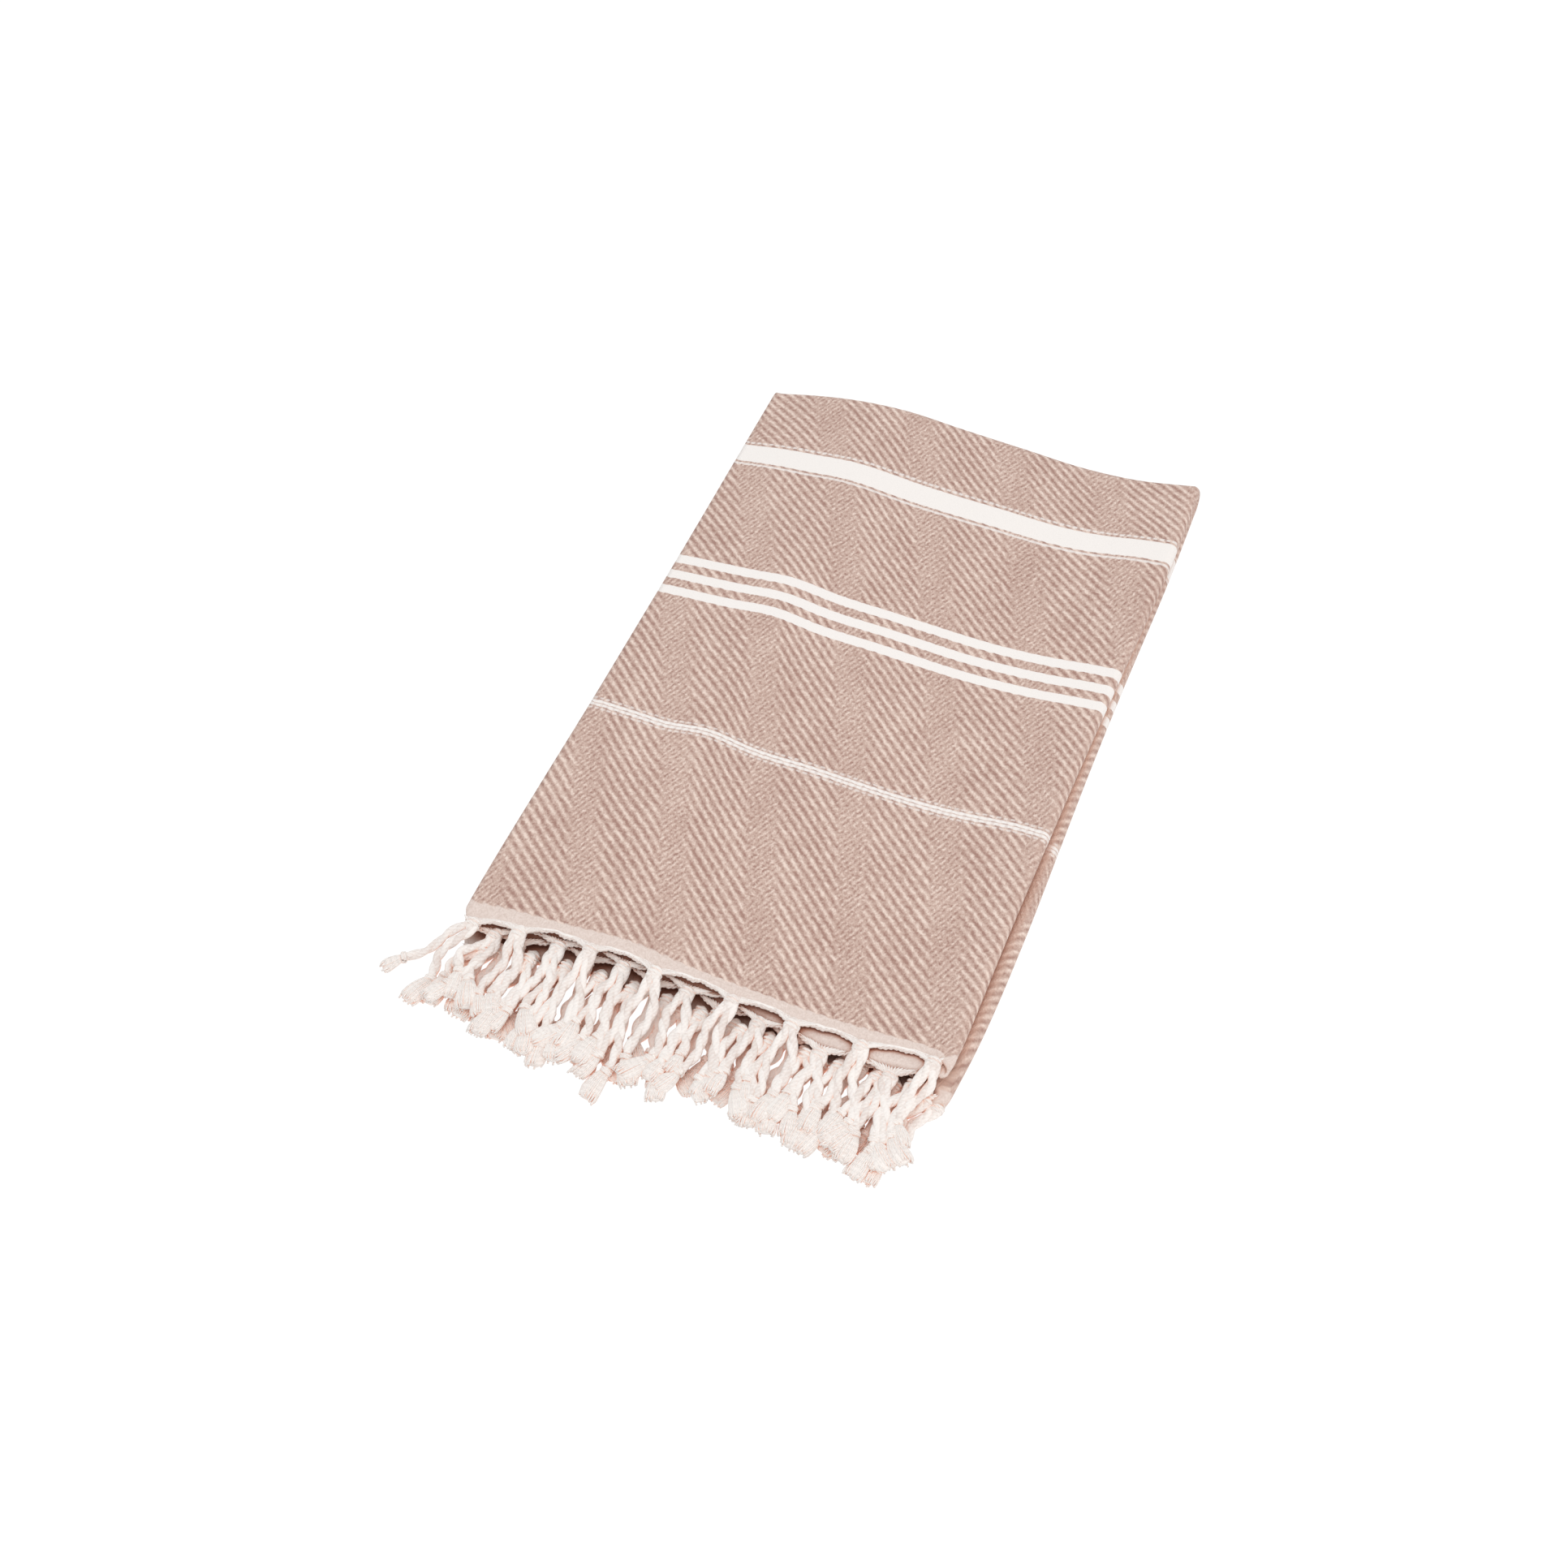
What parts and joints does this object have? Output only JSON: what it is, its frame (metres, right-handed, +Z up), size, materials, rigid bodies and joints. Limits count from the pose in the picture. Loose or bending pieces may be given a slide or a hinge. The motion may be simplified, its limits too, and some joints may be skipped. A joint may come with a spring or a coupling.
{
  "type": "hammam towel",
  "caption": "Flat-woven cotton hammam towel, folded into a low oblong stack, with pale cross stripes and a knotted tassel fringe along its near end.",
  "frame": {"origin": "on the floor, under the middle of the box around the whole towel", "axes": "+Z up; +Y along the length, from the fringe at -Y to the far fold at +Y; +X across the width, towards the side with the two rolled folds"},
  "size_m": [0.285, 0.4926, 0.0197],
  "materials": {
    "woven_cotton": "matt dusty-rose and off-white twill with off-white stripes",
    "fringe_cotton": "matt off-white twisted yarn"
  },
  "bodies": {
    "root": {"towel_cloth": "woven_cotton", "fringe_top": "fringe_cotton", "fringe_second": "fringe_cotton", "fringe_third": "fringe_cotton", "fringe_bottom": "fringe_cotton"}
  },
  "joints": []
}
